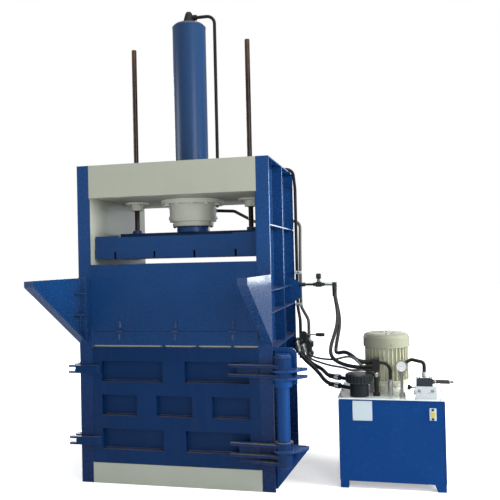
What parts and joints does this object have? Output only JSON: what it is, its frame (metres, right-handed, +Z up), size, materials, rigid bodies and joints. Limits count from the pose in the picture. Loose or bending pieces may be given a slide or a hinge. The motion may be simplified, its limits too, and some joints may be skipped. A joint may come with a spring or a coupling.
{
  "type": "recycling baler",
  "caption": "Vertical baling press: tower frame with ram, platen, hinged door and feed flap, and a hose-fed hydraulic power pack beside it.",
  "frame": {"origin": "on the floor, under the axis of the press cylinder", "axes": "+Z up; +X across the press towards the power pack; -Y towards the operator at the front"},
  "size_m": [2.6462, 1.7925, 3.479],
  "materials": {
    "tower_blue": "semi-gloss paint, rough underneath",
    "door_blue": "semi-gloss paint",
    "chamber_beige": "semi-gloss paint",
    "cylinder_blue": "gloss paint",
    "tank_blue": "gloss paint",
    "lid_grey": "satin paint",
    "motor_paint": "satin paint",
    "valve_dark": "satin paint",
    "filter_black": "satin",
    "bright_steel": "brushed",
    "plated_steel": "zinc plated",
    "hard_chrome": "polished",
    "oiled_steel": "oiled, brown with age",
    "line_black": "satin paint",
    "hose_rubber": "matte",
    "hose_grey": "matte",
    "knob_black": "matte",
    "gauge_case": "satin",
    "pointer_black": "matte"
  },
  "bodies": {
    "press": {"base_frame": "chamber_beige", "chamber_floor": "chamber_beige", "left_liner": "chamber_beige", "right_liner": "chamber_beige", "rear_wall": "chamber_beige", "rear_ribs": "tower_blue", "left_side_frame": "tower_blue", "right_side_frame": "tower_blue", "head_beam": "chamber_beige", "front_crossbeam": "tower_blue", "left_wing": "tower_blue", "right_wing": "tower_blue", "hinge_lugs": "tower_blue", "hinge_shaft": "door_blue", "lock_clevises": "tower_blue", "lock_pins": "plated_steel", "flap_hinge_pins": "plated_steel", "cylinder_barrel": "cylinder_blue", "top_port_fitting": "line_black", "gland_housing": "chamber_beige", "gland_ring": "chamber_beige", "cylinder_bolts": "chamber_beige", "guide_bushes": "chamber_beige", "top_pipe": "line_black", "gland_pipe": "bright_steel", "needle_valve": "plated_steel", "directional_valve": "valve_dark", "tank": "tank_blue", "tank_lid": "lid_grey", "motor_body": "motor_paint", "fan_cowl": "motor_paint", "bell_housing": "motor_paint", "return_filter": "filter_black", "gauge_body": "gauge_case", "manifold_block": "line_black", "valve_base_block": "bright_steel", "solenoid_valve": "valve_dark", "pressure_pipe": "line_black", "gauge_pipe": "line_black", "hanging_hose": "hose_rubber", "loop_hose": "hose_rubber", "return_hose_left": "hose_rubber", "return_hose_right": "hose_rubber", "feed_hose_upper": "hose_grey", "feed_hose_lower": "hose_grey", "coil_cable": "hose_rubber"},
    "door": {"main_door": "door_blue", "upper_hinge_arm": "door_blue", "lower_hinge_arm": "door_blue", "door_lock_lugs": "door_blue"},
    "flap": {"feed_flap": "tower_blue"},
    "ram": {"ram_rod": "hard_chrome", "ram_collars": "tower_blue", "platen": "tower_blue", "guide_rods": "oiled_steel"},
    "upper_lock_bolt": {"upper_swing_bolt": "plated_steel"},
    "lower_lock_bolt": {"lower_swing_bolt": "plated_steel"},
    "knob": {"needle_knob": "knob_black"},
    "lever": {"valve_lever": "bright_steel"},
    "pointer": {"gauge_needle": "pointer_black"}
  },
  "joints": [
    {"name": "ram_slide", "type": "slide", "parent": "press", "child": "ram", "axis": [0, 0, -1], "range_m": [0, 0.88]},
    {"name": "door_hinge", "type": "hinge", "parent": "press", "child": "door", "pos_m": [0.765, -0.52, 0.54], "axis": [0, 0, 1], "range_deg": [0, 105]},
    {"name": "flap_hinge", "type": "hinge", "parent": "press", "child": "flap", "pos_m": [0.02, -0.53, 1.0685], "axis": [1, 0, 0], "range_deg": [0, 55]},
    {"name": "upper_bolt_swing", "type": "hinge", "parent": "press", "child": "upper_lock_bolt", "pos_m": [-0.738, -0.44, 0.804], "axis": [0, 0, 1], "range_deg": [0, 180]},
    {"name": "lower_bolt_swing", "type": "hinge", "parent": "press", "child": "lower_lock_bolt", "pos_m": [-0.738, -0.44, 0.3], "axis": [0, 0, 1], "range_deg": [0, 180]},
    {"name": "knob_turn", "type": "hinge", "parent": "press", "child": "knob", "pos_m": [0.912, 0.382, 1.4], "axis": [0, 0, 1], "range_deg": [0, 720]},
    {"name": "lever_tilt", "type": "hinge", "parent": "press", "child": "lever", "pos_m": [0.784, 0.382, 0.945], "axis": [0, 1, 0], "range_deg": [-15, 15], "stiffness_Nm_per_rad": 6},
    {"name": "pointer_turn", "type": "hinge", "parent": "press", "child": "pointer", "pos_m": [1.536, -0.272, 0.809], "axis": [0, 1, 0], "range_deg": [0, 270], "stiffness_Nm_per_rad": 0.001}
  ]
}
